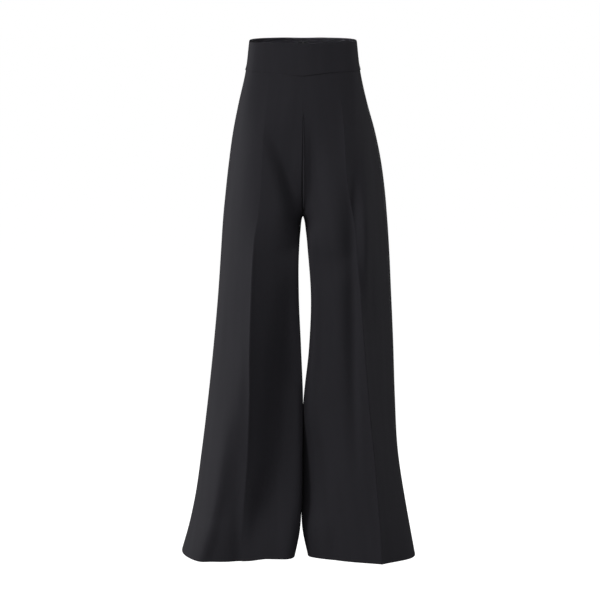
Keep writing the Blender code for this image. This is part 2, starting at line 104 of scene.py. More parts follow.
FRONT_LEFT = (
    (45, -84, -250, 25, 61, 0.60, 70, -77, -10, 12, 0.75, 118, 0, 0.00, 0.00),
    (-30, -88, -230, 25, 64, 0.60, 74, -82, -9, 10, 0.75, 127, 0, 0.00, 0.00),
    (-100, -96, -200, 25, 74, 0.62, 84, -91, -8, 18, 0.58, 143, 12, 0.00, -0.12),
    (-160, -101, -160, 25, 89, 0.66, 90, -98, -4, 26, 0.50, 160, 26, 0.00, -0.25),
    (-230, -104, -100, 25, 108, 0.74, 94, -103, 0, 25, 0.47, 175, 40, 0.00, -0.34),
    (-300, -105, -40, 25, 124, 0.86, 102, -107, 2, 27, 0.47, 184.5, 45, 0.00, -0.36),
    (-350, -105, 0, 25, 134, 0.95, 111, -110, 3, 30, 0.47, 189, 45, 0.00, -0.36),
    (-382, -105, 6.6, -40, 66, 0.97, 114, -111, 4, 32, 0.47, 191.5, 45, -0.12, -0.36),
    (-420, -105, 10.5, -78, 20, 0.98, 117, -112, 8, 35, 0.47, 194, 45, -0.20, -0.34),
    (-520, -105, 17.3, -78, 20, 0.98, 127, -115, 9, 42, 0.46, 199, 42, -0.22, -0.28),
    (-640, -105, 13, -76, 24, 0.97, 137, -119, 9, 52, 0.45, 204.5, 36, -0.22, -0.20),
    (-760, -105, 1.2, -40, 80, 0.88, 147, -123, 8, 54, 0.45, 208.5, 26, -0.15, -0.10),
    (-880, -105, -1.8, 15, 122, 0.73, 159, -129, 8, 52, 0.45, 215, 10, -0.05, -0.04),
    (-1000, -105, -3.2, 5, 122, 0.73, 169, -138, 10, 48, 0.45, 233, -16, -0.08, 0.00),
    (-1045, -105, -2.4, -40, 82, 0.84, 173, -143, 12, 44, 0.47, 241, -34, -0.15, 0.00),
    (-1110, -105, 12, -88, 28, 0.95, 176, -150, 14, 38, 0.50, 253, -58, -0.22, 0.00),
)
BACK_COLUMNS = ("z", "centre_y", "inner_x", "in_round", "in_flat", "back_x", "back_y",
                "back_in", "back_out")
BACK = (
    (45, 84, -250, 0.60, 0.60, 68, 76, -13, 18),
    (-30, 89, -230, 0.60, 0.60, 70, 81, -13, 19),
    (-100, 101, -200, 0.64, 0.60, 70, 94, -12, 24),
    (-160, 111, -160, 0.72, 0.60, 76, 110, -2, 28),
    (-230, 117, -95, 0.84, 0.60, 82, 122, 6, 30),
    (-300, 117, -38, 0.93, 0.58, 90, 125, 12, 32),
    (-350, 117, 0, 0.97, 0.56, 98, 122, 16, 34),
    (-420, 117, 0, 0.88, 0.55, 106, 118, 22, 36),
    (-520, 117, 0, 0.88, 0.55, 114, 115, 26, 38),
    (-640, 117, 0, 0.86, 0.55, 121, 116, 28, 38),
    (-760, 117, 0, 0.84, 0.55, 126, 118, 28, 36),
    (-880, 117, 0, 0.84, 0.55, 131, 122, 26, 34),
    (-1000, 117, 0, 0.86, 0.55, 138, 127, 24, 32),
    (-1110, 117, 0, 0.86, 0.55, 144, 132, 22, 30),
)

# Folds over the front and back, millimetres: a line through three points, its half widths
# towards the inner leg and the side, and how far the cloth stands out or sinks in. They fade
# out over FOLD_TURN, in metres, where the cloth turns edge on.
FOLD_TURN = 0.035
FOLD_FADE_POWER = 1.5
FOLD_COLUMNS = ("leg", "face", "x_top", "z_top", "x_mid", "z_mid", "x_end", "z_end",
                "inner_half", "outer_half", "height")
FOLDS = (
    ("right", "front", 79, -135, 33, -250, -4, -450, 60, 21, -17.5),
    ("right", "front", 2, -290, 6, -500, 4, -760, 20, 32, -15),
    ("right", "front", 8, -470, 42, -790, 70, -1090, 56, 40, -26),
    ("right", "front", 66, -860, 92, -980, 118, -1100, 34, 20, -7),
    ("right", "front", 132, -540, 144, -720, 172, -920, 20, 24, 5),
    ("right", "front", 168, -740, 192, -960, 300, -1300, 19, 26, 14),
    ("right", "front", 126, -780, 143, -930, 134, -1220, 18, 18, -6),
    ("right", "front", 2, -330, 16, -520, 4, -780, 12, 14, 6),
    ("right", "front", 26, -960, 28, -1080, 30, -1260, 12, 22, 5),
    ("left", "front", 68, -190, 71, -330, 75, -520, 32, 30, 6),
    ("left", "front", 68, -270, 71, -490, 74, -760, 38, 32, 6),
    ("left", "front", 108, -190, 110, -520, 120, -960, 15, 10, -8),
    ("left", "front", 18, -120, 20, -250, 16, -400, 12, 28, -6.5),
    ("left", "front", 2, -330, 22, -545, 4, -780, 12, 14, 9),
    ("left", "front", 172, -130, 176, -330, 190, -620, 7, 12, -4),
    ("left", "front", 138, -150, 141, -340, 152, -600, 20, 26, 23),
    ("left", "front", 150, -370, 151, -480, 156, -610, 8, 7, -4),
    ("left", "front", 26, -700, 36, -920, 50, -1150, 18, 34, -8),
    ("left", "front", 70, -960, 70, -1060, 72, -1170, 16, 16, -3),
    ("right", "back", 60, -330, 92, -520, 130, -760, 26, 26, -8),
    ("left", "back", 70, -330, 96, -560, 150, -860, 28, 28, -8),
    ("right", "back", 190, -700, 196, -920, 205, -1200, 26, 26, 9),
    ("left", "back", 180, -640, 190, -900, 205, -1200, 28, 28, 8),
)

# The pressed creases' lips: where each begins to show and is full, its height, and the distance
# over which it falls away
CREASE_COLUMNS = ("leg", "face", "z_start", "z_full", "height", "half")
CREASES = (
    ("right", "front", -0.330, -0.430, 0.0016, 0.007),
    ("left", "front", -0.070, -0.150, 0.0016, 0.007),
    ("right", "back", -0.300, -0.460, 0.0016, 0.007),
    ("left", "back", -0.300, -0.440, 0.0016, 0.007),
)

# How far each seam pulls the cloth in, millimetres, and how much painted shade, standing in for
# the shadow in its groove, darkens the cloth's colour, down its length. The centre front lies
# flat below the waist and sinks deeply above the crotch.
SEAM_COLUMNS = ("z", "front_middle", "back_middle", "side", "front_dark", "back_dark", "side_painted_shade")
SEAMS = (
    (20, 0.35, 0.8, 0.8, 0.00, 0.15, 0.12),
    (-90, 0.40, 0.8, 0.8, 0.00, 0.15, 0.12),
    (-150, 1.00, 0.9, 0.8, 0.16, 0.18, 0.12),
    (-200, 1.50, 1.0, 0.8, 0.22, 0.19, 0.12),
    (-260, 1.90, 1.1, 0.8, 0.62, 0.20, 0.12),
    (-345, 2.40, 1.3, 0.8, 0.85, 0.30, 0.12),
    (-400, 1.00, 1.0, 0.8, 0.20, 0.20, 0.12),
    (-1120, 1.00, 1.0, 0.8, 0.20, 0.20, 0.12),
)

# A seam's painted shadow falls to about a third of its darkness over this distance along the cloth
SHADOW_REACH = 0.0018

# The waist seam's depth and painted shade, likewise, from the wearer's right to left across the
# front, and behind
WAIST_SEAM_COLUMNS = ("x", "front_depth", "front_dark", "back_depth", "back_dark")
WAIST_SEAM = (
    (-100, 0.50, 0.04, 0.9, 0.20),
    (-60, 0.30, 0.00, 0.9, 0.20),
    (-15, 0.40, 0.03, 0.9, 0.20),
    (8, 1.30, 0.40, 0.9, 0.20),
    (62, 1.30, 0.36, 0.9, 0.20),
    (85, 0.80, 0.12, 0.9, 0.20),
    (120, 0.80, 0.08, 0.9, 0.20),
)


def column(rows, names, name):
    """One named column of a table, as an array."""
    return np.array([row[names.index(name)] for row in rows], dtype=float)


def along(z, rows, names, name):
    """A column's value at heights z, read from cubic Hermite arcs through the table's rows."""
    heights = -column(rows, names, "z") / 1000
    values = column(rows, names, name)
    slopes = np.gradient(values, heights)
    down = np.clip(-z, heights[0], heights[-1])
    i = np.clip(np.searchsorted(heights, down) - 1, 0, len(heights) - 2)
    span = heights[i + 1] - heights[i]
    t = (down - heights[i]) / span
    start = (1 + 2 * t) * (1 - t) ** 2 * values[i] + t * (1 - t) ** 2 * span * slopes[i]
    end = t * t * (3 - 2 * t) * values[i + 1] - t * t * (1 - t) * span * slopes[i + 1]
    return start + end


def bezier(t, start, leave, end, arrive, reach_start, reach_end):
    """A cubic Bezier arc between two points, with a direction and a handle's length at each."""
    points = []
    for axis in (0, 1):
        a = start[axis]
        b = a + leave[axis] * reach_start
        d = end[axis]
        c = d - arrive[axis] * reach_end
        leaving = (1 - t) ** 3 * a + 3 * t * (1 - t) ** 2 * b
        points.append(leaving + 3 * t * t * (1 - t) * c + t ** 3 * d)
    return points


def smooth(share):
    """A smooth step from 0 to 1: three times the square less twice the cube."""
    return share * share * (3 - 2 * share)


def inner_arc(t, z, way, inner, centre_y, crease, fall, in_reach, in_flat):
    """From the inner leg or centre seam (0) to a crease (1): a Bezier arc that leaves the inner
    leg along Y, blended into a flat oval at the waist. Above the crotch the arc is cut off where
    it crosses the middle, a place found by halving."""
    across = crease[0] - inner[0]
    arrive = (np.cos(fall), way * np.sin(fall))

    def leg_arc(s):
        return bezier(s, inner, (0, way), crease, arrive, in_reach, across * in_flat)

    low, high = np.zeros_like(t + z), np.ones_like(t + z)
    for _ in range(HALVINGS):
        middle = (low + high) / 2
        short = leg_arc(middle)[0] < 0
        low, high = np.where(short, middle, low), np.where(short, high, middle)
    cut = np.where(z > CROTCH, low, 0)
    leg = leg_arc(cut + (1 - cut) * t)
    reach = crease[0] * OVAL_HANDLE
    oval = bezier(t, (0 * t, centre_y), (1, 0), crease, arrive, reach, reach)
    share = smooth(np.clip((OVAL_END - z) / (OVAL_END - LEGS_START), 0, 1))
    return [oval[axis] * (1 - share) + leg[axis] * share for axis in (0, 1)]


def outer_arc(t, way, crease, fall, side, handle):
    """From a crease (0) to the side (1): a Bezier arc that arrives straight along Y."""
    across = side[0] - crease[0]
    deep = np.abs(side[1] - crease[1])
    leave = (np.cos(fall), -way * np.sin(fall))
    reach = handle * (across * np.cos(fall) + deep * np.abs(np.sin(fall)))
    return bezier(t, crease, leave, side, (0, -way), reach, handle * deep)


def section(leg, q, z):
    """Points of a leg's surface. q runs round the section: 0 inner leg, 1 front crease, 2 side,
    3 back crease, 4 inner leg again. Each quarter is one Bezier arc, whose ends and handles are
    read from the tables at height z, and the folds and creases move it forwards or back."""
    front = FRONT_LEFT if leg == "left" else FRONT_RIGHT

    def of_front(name, scale=0.001):
        return along(z, front, FRONT_COLUMNS, name) * scale

    def of_back(name, scale=0.001):
        return along(z, BACK, BACK_COLUMNS, name) * scale

    degree = math.pi / 180
    q = np.mod(q + 0 * z, ARCS_ROUND)
    arc = np.minimum(np.floor(q), 3).astype(int)
    t = q - arc
    crease = (of_front("front_x"), of_front("front_y"))
    side = (of_front("side_x"), of_front("side_y"))
    rear = (of_back("back_x"), of_back("back_y"))
    inner_y = of_front("inner_y")
    inner_rear = np.where(z > CROTCH, of_back("inner_x"), of_front("inner_x"))
    rear_reach = of_back("in_round", 1) * np.abs(rear[1] - inner_y)
    arcs = (
        inner_arc(t, z, -1, (of_front("inner_x"), inner_y), of_front("centre_y"), crease,
                  of_front("front_in", degree), of_front("in_reach"), of_front("in_flat", 1)),
        outer_arc(t, -1, crease, of_front("front_out", degree), side, of_front("out_round", 1)),
        outer_arc(1 - t, 1, rear, of_back("back_out", degree), side, SIDE_HANDLE_BEHIND),
        inner_arc(1 - t, z, 1, (inner_rear, inner_y), of_back("centre_y"), rear,
                  of_back("back_in", degree), rear_reach, of_back("in_flat", 1)),
    )
    x = np.choose(arc, [a[0] for a in arcs])
    y = np.choose(arc, [a[1] for a in arcs])
    turn = np.choose(arc, (inner_y, side[1], side[1], inner_y))
    forward = folds(leg, arc, x, z) * smooth(np.clip(np.abs(y - turn) / FOLD_TURN, 0, 1))
    forward += creases(leg, arc, x, z, crease[0], rear[0])
    return x, y + np.where(arc < 2, -forward, forward)


def folds(leg, arc, x, z):
    """How far the folds lift the cloth. Across its line a fold is a Gaussian bump, wider on one
    side than the other; along it the height follows a sine to the power one and a half."""
    lift = np.zeros_like(x)
    for fold in FOLDS:
        row = dict(zip(FOLD_COLUMNS, fold))
        if row["leg"] != leg:
            continue
        top, mid, end = (row[name] / 1000 for name in ("z_top", "z_mid", "z_end"))
        s = (top - z) / (top - end)
        m = (top - mid) / (top - end)
        x_top, x_mid, x_end = (row[name] / 1000 for name in ("x_top", "x_mid", "x_end"))
        bend = (x_mid - x_top - (x_end - x_top) * m) / (m * (m - 1))
        line = x_top + (x_end - x_top) * s + bend * s * (s - 1)
        fade = np.sin(math.pi * np.clip(s, 0, 1)) ** FOLD_FADE_POWER
        half = np.where(x < line, row["inner_half"], row["outer_half"]) / 1000
        bump = row["height"] / 1000 * fade * np.exp(-((x - line) / half) ** 2)
        lift += np.where((arc < 2) == (row["face"] == "front"), bump, 0)
    return lift


def creases(leg, arc, x, z, front_x, back_x):
    """The pressed creases' lip: a sharp ridge that decays exponentially on both sides."""
    lift = np.zeros_like(x)
    for crease in CREASES:
        row = dict(zip(CREASE_COLUMNS, crease))
        if row["leg"] != leg:
            continue
        is_front = row["face"] == "front"
        middle = front_x if is_front else back_x
        grown = np.clip((row["z_start"] - z) / (row["z_start"] - row["z_full"]), 0, 1)
        ridge = row["height"] * grown * np.exp(-np.abs(x - middle) / row["half"])
        lift += np.where((arc < 2) == is_front, ridge, 0)
    return lift


def seam_height(q):
    """Height of the waist seam: the side's height less a dip in front or behind, which grows as
    one less the sine of the way round from the centre, a shallow V."""
    inward = 1 - np.abs(np.sin(math.pi * q / 4))
    return BAND_SEAM_SIDE - np.where(q < 2, BAND_SEAM_FRONT_DIP, BAND_SEAM_BACK_DIP) * inward


def hem_lift(leg, q, z):
    """How much the hem rises round the inner leg: a smooth step of the way from each crease to
    the inner leg, which fades out up the leg."""
    height, width = HEM_LIFT[leg]
    near = np.clip((1 - np.minimum(np.abs(q), np.abs(4 - q))) / width, 0, 1)
    low = np.clip(1 - (z - HEM) / HEM_LIFT_FADE, 0, 1)
    return height * smooth(near) * low


def place(leg, x, y, z):
    """World points from a leg's own x, which runs outwards from the middle."""
    way = 1 if leg == "left" else -1
    return np.stack([way * x, y, z + 0 * x], axis=-1)


def unit(vectors):
    """The same directions, each one long."""
    return vectors / np.maximum(np.linalg.norm(vectors, axis=-1, keepdims=True), 1e-9)


def outward(points):
    """Normals of a grid, away from its body: down the rows crossed with along the columns."""
    down = np.gradient(points, axis=0)
    along_row = np.gradient(points, axis=1)
    return unit(np.cross(along_row, -down))


def eased(count):
    """Even steps from 0 to 1, drawn closer together at both ends: s less a sine wave of s."""
    s = np.linspace(0, 1, count)
    return s - COLUMN_CROWDING * np.sin(2 * math.pi * s) / (2 * math.pi)


def panel_places(leg, face):
    """Arc positions and heights of a leg panel's grid, from waist seam to hem, and from the
    centre and inner leg over the crease to the side."""
    rows = np.linspace(BAND_SEAM_SIDE, HEM, PANEL_ROWS)[:, None]
    half = eased(COLUMNS_PER_ARC)
    u = np.concatenate([half / 2, 0.5 + half[1:] / 2])[None, :]
    table = FRONT_LEFT if leg == "left" else FRONT_RIGHT
    inseam = np.where(rows < CROTCH, along(rows, table, FRONT_COLUMNS, "inseam"), 0)
    outseam = 2 + along(rows, table, FRONT_COLUMNS, "outseam")
    crease = 1 if face == "front" else 3
    inner = inseam if face == "front" else inseam + 4
    to_crease = inner + (crease - inner) * u * 2
    q = np.where(u < 0.5, to_crease, crease + (outseam - crease) * (u * 2 - 1))
    drop = np.clip(1 + (rows - BAND_SEAM_SIDE) / DIP_FADE, 0, 1)
    return q, rows + (seam_height(q) - BAND_SEAM_SIDE) * drop + hem_lift(leg, q, rows)


def rolled(points, normals, edge, inside, radius, turn, depth=1.0):
    """Extra columns that roll a grid's edge inwards: a circular arc of a radius for each row
    and that turn, leaving along the cloth. depth scales how far each row sinks."""
    away = unit(points[:, edge] - points[:, inside])
    radius = np.broadcast_to(radius, len(points))[:, None, None]
    angles = np.linspace(0, turn, ROLL_STEPS)[None, 1:, None]
    sink = radius * (1 - np.cos(angles)) * depth
    rolled_out = away[:, None] * radius * np.sin(angles)
    return points[:, edge][:, None] + rolled_out - normals[:, edge][:, None] * sink


def drawn_in(points, edge, inside, distance):
    """Moves an edge's points towards the grid's inside, along the cloth."""
    way = unit(points[:, inside] - points[:, edge])
    points[:, edge] += way * np.broadcast_to(distance, len(points))[:, None]
    return points


def waist_seam(points):
    """Depth and painted shade of the waist seam at points, read straight between the table's rows."""
    at = column(WAIST_SEAM, WAIST_SEAM_COLUMNS, "x") / 1000

    def read(name):
        front, back = (np.interp(points[:, 0], at, column(WAIST_SEAM, WAIST_SEAM_COLUMNS, face + name))
                       for face in ("front_", "back_"))
        return np.where(points[:, 1] < 0, front, back)

    return read("depth") / 1000, read("dark")


def seam_shadow(grid, first, last, top=0.0, bottom=0.0):
    """Painted shade beside a grid's edges, standing in for the shadow in its seams: at each, its
    strength times a Gaussian of the distance along the cloth. The four multiply as layers of shade do."""
    across = np.linalg.norm(np.diff(grid, axis=1, prepend=grid[:, :1]), axis=-1).cumsum(axis=1)
    down = np.linalg.norm(np.diff(grid, axis=0, prepend=grid[:1]), axis=-1).cumsum(axis=0)
    edges = (
        (across, np.reshape(first, (-1, 1))),
        (across[:, -1:] - across, np.reshape(last, (-1, 1))),
        (down, top),
        (down[-1:] - down, bottom),
    )
    light = np.ones(grid.shape[:2])
    for distance, strength in edges:
        light = light * (1 - strength * np.exp(-(distance / SHADOW_REACH) ** 2))
    return 1 - light


def side_edges(grid, flat_rows, depths, waist_painted_shade):
    """The grid with its seam edges rolled in at both sides, by a depth for each row, and the
    waist seam's painted shade carried over them. The rows inside turn in without sinking."""
    normals = outward(grid)
    sinks = np.ones((len(grid), 1, 1))
    sinks[flat_rows] = 0
    first = rolled(grid, normals, 0, 1, depths[0], math.pi / 2, sinks)[:, ::-1]
    last = rolled(grid, normals, -1, -2, depths[1], math.pi / 2, sinks)
    whole = np.concatenate([first, grid, last], axis=1)
    return whole, np.pad(waist_painted_shade, (first.shape[1], last.shape[1]), "edge")


def panel_face(leg, face):
    """A panel's points from seam to seam and waist to hem, and for its first and last column
    the seam's depth and painted shade down the rows."""
    q, z = panel_places(leg, face)
    points = place(leg, *section(leg, q, z), z)
    rows = np.linspace(BAND_SEAM_SIDE, HEM, PANEL_ROWS)
    middle = [along(rows, SEAMS, SEAM_COLUMNS, name) for name in (f"{face}_middle", f"{face}_dark")]
    side = [along(rows, SEAMS, SEAM_COLUMNS, name) for name in ("side", "side_painted_shade")]
    seams = [(middle[0] / 1000, middle[1]), (side[0] / 1000, side[1])]
    if (leg == "left") != (face == "front"):
        return points[:, ::-1], seams[::-1]
    return points, seams


def panel_grid(points, seams):
    """A panel's grid and its seams' painted shadow: its face, its rolled seam edges, and its hem
    turned up inside."""
    waist_depth, waist_painted_shade = waist_seam(points[0])
    for (edge, inside), (depth, _) in zip(((0, 1), (-1, -2)), seams):
        points = drawn_in(points, edge, inside, depth)
    points = drawn_in(points.swapaxes(0, 1), 0, 1, waist_depth).swapaxes(0, 1)
    normals = outward(points)
    under = np.arange(PANEL_ROWS - 2, 0, -1)
    fallen = np.linalg.norm(points[-1] - points[under], axis=-1).mean(axis=1)
    under = under[fallen < HEM_DEPTH]
    sideways = points.swapaxes(0, 1), normals.swapaxes(0, 1)
    top = rolled(*sideways, 0, 1, waist_depth, math.pi / 2).swapaxes(0, 1)[::-1]
    hem = rolled(*sideways, -1, -2, HEM_ROUND, math.pi).swapaxes(0, 1)
    turned_up = points[under] - normals[under] * 2 * HEM_ROUND
    grid = np.concatenate([top, points, hem, turned_up])
    padding = (len(top), len(hem) + len(turned_up))
    depths, painted_shades = zip(*([np.pad(value, padding, "edge") for value in seam] for seam in seams))
    inside = slice(len(top) + len(points), None)
    whole, waist_painted_shade = side_edges(grid, inside, depths, waist_painted_shade)
    return whole, seam_shadow(whole, *painted_shades, top=waist_painted_shade)


def added(name, data):
    """A new object in the scene that holds a mesh, a light or a camera."""
    piece = bpy.data.objects.new(name, data)
    bpy.context.scene.collection.objects.link(piece)
    return piece


def smooth_mesh(name, points, faces, finish):
    """A smooth mesh of one material, from points and the corners of its faces."""
    mesh = bpy.data.meshes.new(name)
    mesh.from_pydata(points.reshape(-1, 3).tolist(), [], faces)
    mesh.shade_smooth()
    mesh.materials.append(finish)
    return mesh


def cloth_object(name, grid, finish, shadow=None, wall=CLOTH_WALL):
    """A sheet through a grid of points, with its UV map in metres of cloth: the map's U is the
    distance along each row from the middle column, and V the mean distance down the columns.
    shadow goes into the attribute whose painted shade darkens the cloth's colour beside its seams."""
    rows, columns = grid.shape[:2]
    index = np.arange(rows * columns).reshape(rows, columns)
    corners = (index[:-1, :-1], index[1:, :-1], index[1:, 1:], index[:-1, 1:])
    quads = np.stack(corners, axis=-1).reshape(-1, 4)
    mesh = smooth_mesh(name, grid, quads.tolist(), finish)
    steps = np.linalg.norm(np.diff(grid, axis=1), axis=-1)
    across = np.concatenate([np.zeros((rows, 1)), np.cumsum(steps, axis=1)], axis=1)
    across -= across[:, columns // 2][:, None]
    falls = np.linalg.norm(np.diff(grid, axis=0), axis=-1).mean(axis=1)
    down = np.concatenate([[0], np.cumsum(falls)])
    uv = np.stack([across, np.repeat(-down[:, None], columns, axis=1)], axis=-1).reshape(-1, 2)
    layer = mesh.uv_layers.new(name="cloth")
    layer.data.foreach_set("uv", uv[quads.reshape(-1)].astype(np.float32).ravel())
    if shadow is not None:
        dark = mesh.attributes.new("seam_shadow", "FLOAT", "POINT")
        dark.data.foreach_set("value", shadow.astype(np.float32).ravel())
    piece = added(name, mesh)
    shell = piece.modifiers.new("wall", "SOLIDIFY")
    shell.thickness = wall
    shell.offset = -1
    return piece


CREPE_COLOUR = (0.0204, 0.0195, 0.0245, 1.0)
CREPE_ROUGHNESS = 0.85
CREPE_THREAD = 0.0006
CREPE_CONTRAST = 0.10
CREPE_BUMP = 0.00012
WOVEN_SPECULAR = 0.25
WOVEN_BUMP_STRENGTH = 0.35
WOVEN_ROUGHNESS_SWING = 0.06
TONE_DARKEST = 0.25
TONE_LIGHTEST = 0.75
PEBBLE_SHARE = 0.6
STREAK_SHARE = 0.5
STREAKS_A_METRE = (38.0, 3.0, 1.0)


def add_node(tree, kind, operation=None, **inputs):
    """A shader node with its operation, and its inputs set by name or by _number."""
    node = tree.nodes.new(kind)
    if operation:
        node.operation = operation
    for key, value in inputs.items():
        node.inputs[int(key[1:]) if key.startswith("_") else key].default_value = value
    return node


def new_group(name, sockets):
    """An empty shader node group with its sockets, and its input and output nodes."""
    tree = bpy.data.node_groups.new(name, "ShaderNodeTree")
    for socket, way, kind in sockets:
        tree.interface.new_socket(socket, in_out=way, socket_type=f"NodeSocket{kind}")
    return tree, tree.nodes.new("NodeGroupInput"), tree.nodes.new("NodeGroupOutput")


def weave_group():
    """Crepe: fine twisted threads crossing, which are the product of two sines' sizes, broken up
    by a pebble of noise, with slow streaks along the grain. Height is for bump; Tone is a shade
    between 0 and 1 for the colour."""
    tree, start, end = new_group("crepe_weave", (
        ("Place", "INPUT", "Vector"),
        ("Thread", "INPUT", "Float"),
        ("Height", "OUTPUT", "Float"),
        ("Tone", "OUTPUT", "Float"),
    ))
    link = tree.links.new
    per_thread = add_node(tree, "ShaderNodeMath", "DIVIDE", _0=1.0)
    scaled = add_node(tree, "ShaderNodeVectorMath", "SCALE")
    split = add_node(tree, "ShaderNodeSeparateXYZ")
    link(start.outputs["Thread"], per_thread.inputs[1])
    link(start.outputs["Place"], scaled.inputs[0])
    link(per_thread.outputs[0], scaled.inputs["Scale"])
    link(scaled.outputs[0], split.inputs[0])
    crossing = add_node(tree, "ShaderNodeMath", "MULTIPLY")
    for number, axis in enumerate(("X", "Y")):
        turn = add_node(tree, "ShaderNodeMath", "MULTIPLY", _1=math.pi)
        wave = add_node(tree, "ShaderNodeMath", "SINE")
        size = add_node(tree, "ShaderNodeMath", "ABSOLUTE")
        link(split.outputs[axis], turn.inputs[0])
        link(turn.outputs[0], wave.inputs[0])
        link(wave.outputs[0], size.inputs[0])
        link(size.outputs[0], crossing.inputs[number])
    pebble = add_node(tree, "ShaderNodeTexNoise", Scale=0.8, Detail=2.0, Roughness=0.6)
    height = add_node(tree, "ShaderNodeMix", Factor=PEBBLE_SHARE)
    link(scaled.outputs[0], pebble.inputs["Vector"])
    link(crossing.outputs[0], height.inputs["A"])
    link(pebble.outputs["Fac"], height.inputs["B"])
    link(height.outputs["Result"], end.inputs["Height"])
    stretched = add_node(tree, "ShaderNodeVectorMath", "MULTIPLY", _1=STREAKS_A_METRE)
    streak = add_node(tree, "ShaderNodeTexNoise", Scale=1.0, Detail=3.0, Roughness=0.55)
    tone = add_node(tree, "ShaderNodeMix", Factor=STREAK_SHARE)
    link(start.outputs["Place"], stretched.inputs[0])
    link(stretched.outputs[0], streak.inputs["Vector"])
    link(height.outputs["Result"], tone.inputs["A"])
    link(streak.outputs["Fac"], tone.inputs["B"])
    link(tone.outputs["Result"], end.inputs["Tone"])
    return tree


crepe_weave = weave_group()


def new_finish(name):
    """A new material with its node tree and its Principled BSDF."""
    finish = bpy.data.materials.new(name)
    finish.use_nodes = True
    return finish, finish.node_tree, finish.node_tree.nodes["Principled BSDF"]


def place_group(tree, group, where):
    """A group's node in a material, fed with a place on the surface."""
    node = tree.nodes.new("ShaderNodeGroup")
    node.node_tree = group
    tree.links.new(where, node.inputs["Place"])
    return node


def rough_and_bumpy(tree, shader, rough_by, lowest, highest, bump_by, strength, distance):
    """Roughness between two values by one of an effect's outputs, and bump by another."""
    rough = add_node(tree, "ShaderNodeMapRange")
    rough.inputs["To Min"].default_value = lowest
    rough.inputs["To Max"].default_value = highest
    bump = add_node(tree, "ShaderNodeBump", Strength=strength, Distance=distance)
    tree.links.new(rough_by, rough.inputs["Value"])
    tree.links.new(rough.outputs["Result"], shader.inputs["Roughness"])
    tree.links.new(bump_by, bump.inputs["Height"])
    tree.links.new(bump.outputs["Normal"], shader.inputs["Normal"])


def woven_finish(name, colour, roughness, thread, contrast, bump_depth):
    """A matt woven material: the weave's tone shades the colour and its height is the bump."""
    finish, tree, shader = new_finish(name)
    shader.inputs["Specular IOR Level"].default_value = WOVEN_SPECULAR
    cloth_map = add_node(tree, "ShaderNodeUVMap")
    cloth_map.uv_map = "cloth"
    weave = place_group(tree, crepe_weave, cloth_map.outputs["UV"])
    weave.inputs["Thread"].default_value = thread
    shade = tree.nodes.new("ShaderNodeValToRGB")
    ends = ((TONE_DARKEST, 1 - contrast), (TONE_LIGHTEST, 1 + contrast))
    for stop, (position, level) in zip(shade.color_ramp.elements, ends):
        stop.position = position
        stop.color = [c * level for c in colour[:3]] + [1]
    tree.links.new(weave.outputs["Tone"], shade.inputs["Fac"])
    tree.links.new(shade.outputs["Color"], shader.inputs["Base Color"])
    rough_and_bumpy(tree, shader, weave.outputs["Tone"], roughness + WOVEN_ROUGHNESS_SWING,
                    roughness - WOVEN_ROUGHNESS_SWING, weave.outputs["Height"],
                    WOVEN_BUMP_STRENGTH, bump_depth)
    return finish


def darken_seams(finish):
    """Painted shade beside the seams: the colour times one less the mesh's seam_shadow."""
    tree = finish.node_tree
    base = tree.nodes["Principled BSDF"].inputs["Base Color"]
    colour = base.links[0].from_socket
    shadow = add_node(tree, "ShaderNodeAttribute")
    shadow.attribute_name = "seam_shadow"
    lit = add_node(tree, "ShaderNodeMath", "SUBTRACT", _0=1.0)
    dimmed = add_node(tree, "ShaderNodeVectorMath", "SCALE")
    tree.links.new(shadow.outputs["Fac"], lit.inputs[1])
    tree.links.new(colour, dimmed.inputs[0])
    tree.links.new(lit.outputs[0], dimmed.inputs["Scale"])
    tree.links.new(dimmed.outputs[0], base)


crepe = woven_finish("crepe", CREPE_COLOUR, CREPE_ROUGHNESS, CREPE_THREAD, CREPE_CONTRAST, CREPE_BUMP)
# Painted shade in the crepe's colour beside its seams, standing in for the shadow in their grooves
darken_seams(crepe)

for leg in ("left", "right"):
    for face in ("front", "back"):
        node = f"{face}_leg_{leg}"
        grid, shadow = panel_grid(*panel_face(leg, face))
        panel = cloth_object(f"cloth_{node}", grid, crepe, shadow)
        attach(panel, TROUSERS)
        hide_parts(node)


# -----------------------------------------------------------------------------------------
# Waistband. A wide shaped band of the same crepe with a firm interlining: one front cut on
# the fold and two back halves that meet at the zip. Each has a facing of the same cloth,
# sewn to it along the top edge and rolled inside.

BAND_TOP_SIDE = 0.0385
BAND_TOP_FRONT_DIP = 0.0035
BAND_TOP_BACK_RISE = 0.0055
BAND_TOP_BACK_ROUND = 0.4
BAND_DEPTH = 0.0031
BAND_ROWS = 26
BAND_COLUMNS = 64

# How much lower the top is at the zip, and from where and over how much of the way round
BAND_PINCH = 0.0010
BAND_PINCH_FROM = 0.86
BAND_PINCH_OVER = 0.14

# The side seams' depth and painted shade, and the lip of the band's lower edge beside them: how far
# it stands out, its height, and the share of an arc that it fades over
BAND_SIDE_SEAM = (0.0008, 0.12)
BAND_LIP = 0.0015
BAND_LIP_DEPTH = 0.008
BAND_LIP_SHARE = 0.5


def top_height(q):
    """Height of the waistband's upper edge. In front it dips with the cosine of the way round.
    Behind it rises with a low power of that cosine, less a square that pinches it at the zip."""
    way_round = np.cos(math.pi * q / 4)
    near_zip = np.clip((np.abs(way_round) - BAND_PINCH_FROM) / BAND_PINCH_OVER, 0, 1)
    rise = BAND_TOP_BACK_RISE * np.abs(way_round) ** BAND_TOP_BACK_ROUND
    behind = rise - BAND_PINCH * near_zip ** 2
    return BAND_TOP_SIDE + np.where(q < 2, -BAND_TOP_FRONT_DIP * way_round, behind)


